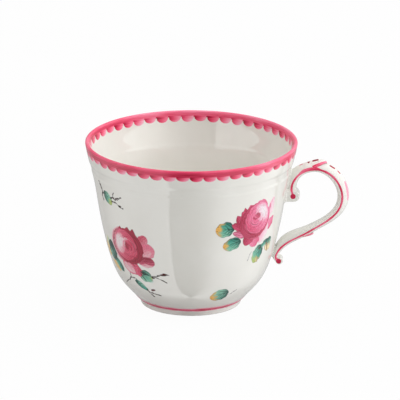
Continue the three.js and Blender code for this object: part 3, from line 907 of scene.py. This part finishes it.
def deep_rose_spray():
    """A deep rose leaning left, with leaves behind it, a bud and twigs below."""
    c = new_canvas(-22.5, 19, -25.5, 11)
    dark, rich, middle, pale = DEEP_ROSE
    petal(c, (-18.0, -9.6), (-19.0, -1.8), 5.6, OCHRE, STRAW, 1, 1, 0.7, 0.1)
    petal(c, (-17.0, -4.0), (-17.6, 0.8), 4.0, PALE_GREEN, STRAW, 1, 1, 0.7, 0.1)
    leaf(c, (-12.6, -10.0), (-14.6, -0.2), 7.2, TEAL * 0.55, DEEP_GREEN, 0.4, 1, 2)
    petal(c, (-9.5, -14.2), (-16.4, -10.2), 3.6, OCHRE, STRAW, 1, 1, 0.7, 0.2)
    leaf(c, (-7.0, -13.6), (-12.4, -7.4), 4.2, TEAL, DEEP_GREEN, 0.2, 1, 4)
    twig(c, ((-2.6, -13.0), (-3.4, -15.8), (-5.4, -17.6), (-8.4, -19.6)), 0.6)
    twig(c, ((-3.2, -15.6), (-1.2, -15.2), (0.2, -15.6), (1.4, -16.8)), 0.6)
    leaf(c, (-0.6, -16.2), (5.2, -20.6), 3.3, TEAL, TEAL, 0.2, 1, 5)
    twig(c, ((4.6, -20.0), (5.0, -21.8), (6.0, -24.4)), 0.66)
    twig(c, ((4.6, -20.8), (6.8, -21.8), (9.6, -22.6)), 0.66)
    petal(c, (8.0, -22.2), (10.6, -22.7), 0.9, TWIG, TWIG, 1, 1, 0.8, 0)
    petal(c, (6.3, -20.3), (8.8, -19.6), 1.2, DARK_BUD, DARK_BUD, 1, 1, 0.7, 0)
    twig(c, ((9.0, -12.6), (11.4, -11.9), (12.6, -11.4), (13.8, -10.7)), 0.66)
    petal(c, (13.2, -10.9), (17.9, -10.3), 1.3, TWIG, DARK_BUD, 1, 1, 0.9, 0)
    twig(c, ((9.2, -13.0), (11.4, -12.8), (13.0, -13.2), (15.6, -14.5)), 0.66)
    petal(c, (13.6, -13.4), (15.9, -14.7), 0.8, TWIG, TWIG, 1, 1, 0.8, 0)
    leaf(c, (3.4, -11.6), (9.3, -13.9), 6.4, PALE_GREEN * 0.4 + TEAL * 0.6, LIME, 0.08, -1, 6)
    soft = middle + (pale - middle) * 0.25
    petal(c, (4.5, 1.5), (10.4, 6.8), 5.2, soft, rich, 1, 1.3, 0.6, 0.9, seed=1)
    petal(c, (5.0, -2.5), (12.8, 2.0), 7.4, soft, middle, 1, 1.3, 0.55, 1.0, seed=2)
    petal(c, (6.0, -2.8), (11.6, 0.2), 3.6, middle, pale, -1, 1.2, 0.6, 0.1, 0.5, seed=3)
    petal(c, (3.0, -6.2), (12.2, -5.0), 5.4, middle, dark, 1, 1.4, 0.55, 0.5, seed=3)
    petal(c, (5.0, -7.4), (11.6, -6.9), 1.8, middle, pale, -1, 1.0, 0.7, 0.1, 0.8, seed=4)
    blob(c, (-1.6, -9.8), (4.8, 3.2), -28, rich, middle, 60, seed=4)
    blob(c, (-1.9, -10.1), (4.0, 2.3), -28, middle, pale, 60, seed=5, soft=2)
    petal(c, (2.0, -6.5), (3.4, -13.6), 4.4, rich, middle, -1, 1.4, 0.6, 0.8, seed=6)
    blob(c, (7.0, -14.2), (2.4, 1.3), -20, TEAL, PALE_GREEN, 90, 0.9, 7, 3)
    petal(c, (3.2, -10.6), (9.2, -12.4), 1.3, DEEP_GREEN * 0.4, DEEP_GREEN, 1, 1, 0.7, 0.3, 0.9)
    petal(c, (3.2, -11.4), (6.4, -15.8), 1.0, DEEP_GREEN * 0.4, DEEP_GREEN, 1, 1, 0.7, 0.3, 0.8)
    for u, v in ((-4.4, 9.4), (0.6, 10.0), (3.6, 9.4)):
        petal(c, (u * 0.6, 3.5), (u, v), 3.6, dark, rich, 1, 1.0, 1.0, 0.8, seed=7)
    arc(c, (-1.4, 0.2), (9.9, 8.6), 178, 68, 1.9, rich, pale, 1.0, 8)
    arc(c, (-1.4, 0.2), (9.0, 8.3), 185, 72, 1.2, dark, middle, 1.0, 9)
    rose(c, (-1.0, 0.3), 8.7, -12, (-0.02, 0.02), DEEP_ROSE, 6)
    return c


def sprig():
    """A green bud between two branching twigs."""
    c = new_canvas(-10, 13, -6, 8)
    twig(c, ((-2.2, 1.6), (-3.4, 1.2), (-4.4, 0.9), (-5.6, -0.6)), 0.75)
    twig(c, ((-5.2, -0.2), (-5.0, -1.4), (-4.5, -2.4)), 0.7)
    twig(c, ((-4.4, 0.9), (-4.6, 2.4), (-5.3, 4.2), (-6.1, 6.0)), 0.95)
    leaf(c, (-2.8, 2.3), (2.5, -2.6), 5.4, PALE_GREEN * 0.3 + TEAL * 0.7, LIME, 0.26, 1, 2)
    twig(c, ((2.0, 0.4), (3.4, 0.9), (4.2, 1.9), (4.9, 3.4)), 0.6)
    twig(c, ((2.4, 0.1), (4.0, 0.7), (5.4, 0.5), (6.4, 1.3), (7.8, 1.3), (9.4, 2.3)), 0.66)
    twig(c, ((2.4, -0.9), (4.4, -1.1), (6.0, -1.4), (7.4, -2.2), (9.6, -2.8)), 0.6)
    petal(c, (7.0, -1.8), (8.8, -2.1), 1.0, TWIG, TWIG, 1, 1, 0.8, 0)
    petal(c, (6.0, 1.1), (7.4, 0.4), 0.9, DARK_BUD, TWIG, 1, 1, 0.8, 0)
    petal(c, (3.6, 0.6), (5.0, 1.3), 0.8, DARK_BUD, TWIG, 1, 1, 0.8, 0)
    return c


def single_leaf():
    c = new_canvas(-7, 11, -6, 6)
    leaf(c, (3.9, 1.7), (-3.9, -2.0), 7.4, PALE_GREEN * 0.3 + TEAL * 0.7, OCHRE, 0.26, -1, 3)
    twig(c, ((3.6, -0.9), (5.6, 0.2), (8.2, 1.7)), 0.5, TWIG, 0.8)
    return c


# Each painting: its name, the angle from the front towards the handle, the way up the wall
SPRAYS = (
    ("soft_rose", soft_rose_spray, 44.5, 46.6), ("deep_rose", deep_rose_spray, -44.4, 33.5),
    ("sprig_left", sprig, -58.9, 54.1), ("leaf_front", single_leaf, 23.6, 11.3),
    ("deep_rose_back", deep_rose_spray, 150.0, 37.0), ("sprig_back", sprig, 198.0, 52.0),
    ("leaf_back", single_leaf, 122.0, 14.0), ("leaf_left", single_leaf, 240.0, 30.0),
)


# ---- materials
def grey(value):
    return (value, value, value, 1)


def new_material(name):
    material = bpy.data.materials.new(name)
    material.use_nodes = True
    tree = material.node_tree
    return material, tree, tree.nodes["Principled BSDF"]


def feed(tree, sockets, values):
    """Set sockets to constants or link them to other nodes' outputs, by name or number."""
    for key, value in values.items():
        if isinstance(value, bpy.types.NodeSocket):
            tree.links.new(value, sockets[key])
        else:
            sockets[key].default_value = value


def node(tree, kind, values=None, output=0, **settings):
    """Add a shader node with its settings and inputs, and return one of its outputs."""
    made = tree.nodes.new("ShaderNode" + kind)
    for key, value in settings.items():
        setattr(made, key, value)
    feed(tree, made.inputs, values or {})
    return made.outputs[output]


def calculated(tree, operation, *values):
    return node(tree, "Math", dict(enumerate(values)), operation=operation)


def attribute(tree, name, output="Fac"):
    return node(tree, "Attribute", output=output, attribute_name=name)


def noise(tree, scale, detail, roughness, place):
    return node(tree, "TexNoise", {"Scale": scale, "Detail": detail, "Roughness": roughness,
                                   "Vector": place}, "Fac")


def mixed(tree, factor, first, second, mode="MIX"):
    """Mix two colours. A Mix node's colour inputs are 6 and 7, and its colour output is 2."""
    return node(tree, "Mix", {0: factor, 6: first, 7: second}, 2, data_type="RGBA", blend_type=mode)


def ramp(tree, factor, *stops):
    """A colour ramp. A stop is its position and three colour values, or one value for grey."""
    made = tree.nodes.new("ShaderNodeValToRGB")
    elements = made.color_ramp.elements
    for position, _ in stops[1:-1]:
        elements.new(position)
    for element, (position, tint) in zip(elements, stops):
        element.position = position
        element.color = (*tint, 1) if isinstance(tint, tuple) else grey(tint)
    feed(tree, made.inputs, {"Fac": factor})
    return made.outputs["Color"]


def porcelain_material():
    """Clear glaze over white porcelain: a little tone, gloss that varies, a trace of orange peel."""
    material, tree, shader = new_material("porcelain_glaze")
    place = node(tree, "TexCoord", output="Object")
    tone = ramp(tree, noise(tree, 55, 3, 0.6, place),
                (0.3, (0.800, 0.793, 0.742)), (0.7, (0.835, 0.830, 0.785)))
    gloss = node(tree, "MapRange", {"Value": noise(tree, 160, 3, 0.6, place),
                                    "To Min": 0.03, "To Max": 0.06})
    peel = node(tree, "Bump", {"Height": noise(tree, 420, 2, 0.5, place),
                               "Strength": 0.03, "Distance": 0.0002})
    feed(tree, shader.inputs, {"Base Color": tone, "Roughness": gloss, "Normal": peel, "IOR": 1.5})
    return material


def pink_material():
    """Brushed pink enamel: tone picks the strength, and fine streaks run along each stroke."""
    material, tree, shader = new_material("pink_enamel")
    along = calculated(tree, "MULTIPLY", attribute(tree, "along"), 0.12)
    across = calculated(tree, "MULTIPLY", attribute(tree, "across"), 2.6)
    streak = noise(tree, 1.0, 4, 0.65, node(tree, "CombineXYZ", {"X": along, "Y": across}))
    shift = node(tree, "MapRange", {"Value": streak, "From Min": 0.25, "From Max": 0.75,
                                    "To Min": -0.16, "To Max": 0.16})
    tint = ramp(tree, calculated(tree, "ADD", attribute(tree, "tone"), shift),
                (0.0, (0.95, 0.50, 0.62)), (0.3, (0.93, 0.20, 0.32)), (0.55, (0.82, 0.07, 0.16)),
                (0.8, (0.52, 0.018, 0.060)), (1.0, (0.24, 0.007, 0.026)))
    feed(tree, shader.inputs, {"Base Color": tint, "Roughness": 0.2, "Specular IOR Level": 0.25})
    return material


def spray_material():
    """Painted enamels: the film's own colour, thinning to the porcelain where little was laid."""
    material, tree, shader = new_material("painted_sprays")
    grain = noise(tree, 1500, 3, 0.6, node(tree, "TexCoord", output="Object"))
    brush = ramp(tree, grain, (0.3, 0.86), (0.7, 1.0))
    worked = mixed(tree, 1.0, attribute(tree, "paint", "Color"), brush, "MULTIPLY")
    tone = mixed(tree, attribute(tree, "paint", "Alpha"), (0.82, 0.82, 0.81, 1), worked)
    feed(tree, shader.inputs, {"Base Color": tone, "Roughness": 0.2, "Specular IOR Level": 0.15})
    return material


# ---- studio, in metres
FLOOR_REACH = 3.0
FLOOR_WHITE = 0.96          # how much of the floor that the camera sees is plain white
LAMP_PLACE = Vector((0.60, 0.10, 0.42))
LAMP_SIZE = 0.3
CAMERA_ELEVATION = 17.53
CAMERA_ROLL = 0.25
CAMERA_DISTANCE = 3.0
VIEW_WIDTH = 0.170          # what the picture's width spans at the cup
SIDE_OFFSET = 0.00375       # the cup's axis is this far left of the picture's middle
UP_OFFSET = 0.00885         # and its middle is this far below it


def add_object(name, data):
    made = bpy.data.objects.new(name, data)
    bpy.context.scene.collection.objects.link(made)
    return made


def aim_from(made, place, back, roll=0.0):
    """Put a lamp or camera in its place, looking against back and turned by roll degrees."""
    made.location = place
    made.rotation_mode = "QUATERNION"
    turn = Quaternion((0, 0, 1), math.radians(roll))
    made.rotation_quaternion = back.to_track_quat("Z", "Y") @ turn


def build_floor():
    """A wide floor, pale to the light, nearly white to the camera and unseen by the glaze."""
    far = FLOOR_REACH
    mesh = bpy.data.meshes.new("floor")
    mesh.from_pydata([(-far, -far, 0), (far, -far, 0), (far, far, 0), (-far, far, 0)], [],
                     [(0, 1, 2, 3)])
    floor = add_object("floor", mesh)
    material, tree, shader = new_material("white_sweep")
    place = node(tree, "TexCoord", output="Object")
    tone = ramp(tree, noise(tree, 2, 2, 0.5, place), (0.3, 0.65), (0.7, 0.67))
    feed(tree, shader.inputs, {"Base Color": tone, "Roughness": 0.9, "Specular IOR Level": 0.0})
    seen = node(tree, "LightPath", output="Is Camera Ray")
    share = calculated(tree, "MULTIPLY", seen, FLOOR_WHITE)
    mix = node(tree, "MixShader", {0: share, 1: shader.outputs["BSDF"], 2: node(tree, "Emission")})
    feed(tree, tree.nodes["Material Output"].inputs, {"Surface": mix})
    mesh.materials.append(material)
    floor.visible_glossy = False


def warm(value):
    return (1.03 * value, value, 0.98 * value)


def build_world():
    """Studio light as a function of direction: what lights the cup and what its glaze mirrors."""
    world = bpy.data.worlds.new("studio")
    bpy.context.scene.world = world
    world.use_nodes = True
    tree = world.node_tree
    direction = node(tree, "TexCoord", output="Generated")
    x, y, z = node(tree, "SeparateXYZ", {0: direction}).node.outputs

    # turn is 0.5 towards the front, 0.75 to the right and 0.25 to the left
    angle = calculated(tree, "ARCTAN2", x, calculated(tree, "MULTIPLY", y, -1.0))
    turn = calculated(tree, "ADD", calculated(tree, "DIVIDE", angle, 2 * math.pi), 0.5)
    lighting = ramp(tree, turn, (0.0, 0.74), (0.18, warm(0.91)), (0.28, warm(0.72)),
                    (0.40, warm(0.27)), (0.50, 0.27), (0.56, 0.74), (0.65, 1.62), (0.80, 0.78),
                    (1.0, 0.70))
    mirrored = ramp(tree, turn, (0.0, 0.5), (0.12, 0.6), (0.24, 2.2), (0.419, 2.3), (0.421, 0.1),
                    (0.50, 0.12), (0.53, 0.3), (0.566, 0.8), (0.602, 1.8), (0.65, 2.5),
                    (0.80, 2.2), (0.9, 0.7), (1.0, 0.5))
    overhead = ramp(tree, z, (0.45, 0.0), (0.95, 0.62))
    light = mixed(tree, 1.0, lighting, overhead, "ADD")
    light = mixed(tree, node(tree, "LightPath", output="Is Glossy Ray"), light, mirrored)
    light = mixed(tree, node(tree, "LightPath", output="Is Camera Ray"), light, grey(1.0))
    feed(tree, tree.nodes["Background"].inputs, {"Color": light, "Strength": 1.0})


def build_lights():
    lamp = bpy.data.lights.new("overhead", "AREA")
    lamp.shape = "DISK"
    lamp.size = LAMP_SIZE
    lamp.energy = 1.0
    light = add_object("overhead", lamp)
    aim_from(light, LAMP_PLACE, LAMP_PLACE)
    light.visible_glossy = False


def build_camera():
    e = math.radians(CAMERA_ELEVATION)
    back = Vector((0, -math.cos(e), math.sin(e)))
    up = Vector((0, math.sin(e), math.cos(e)))
    aim = AXIS + Vector((SIDE_OFFSET, 0, HEIGHT * MM / 2)) + up * UP_OFFSET
    lens = bpy.data.cameras.new("camera")
    lens.sensor_width = 36
    lens.lens = lens.sensor_width * CAMERA_DISTANCE / VIEW_WIDTH
    lens.clip_end = 20
    camera = add_object("camera", lens)
    aim_from(camera, aim + back * CAMERA_DISTANCE, back, CAMERA_ROLL)
    bpy.context.scene.camera = camera


# ---- make it all
bpy.context.scene.view_settings.view_transform = "Standard"
bpy.context.scene.view_settings.look = "None"
build_camera()
build_world()
build_lights()
build_floor()

porcelain = porcelain_material()
pink = pink_material()
add_piece("bowl", *lathe(bowl_profile()), porcelain, ("bowl",))
add_piece("foot", *lathe(foot_profile()), porcelain, ("foot_ring",))
build_rim_band(pink)
build_foot_line(pink)
build_handle(porcelain, pink)
build_leaf("thumb_leaf", THUMB_LEAF, 1, porcelain, pink)
build_leaf("lower_leaf", LOWER_LEAF, -1, porcelain, pink)
enamels = spray_material()
for name, paint_it, angle, length in SPRAYS:
    fire_spray(name, paint_it(), angle, length, enamels)
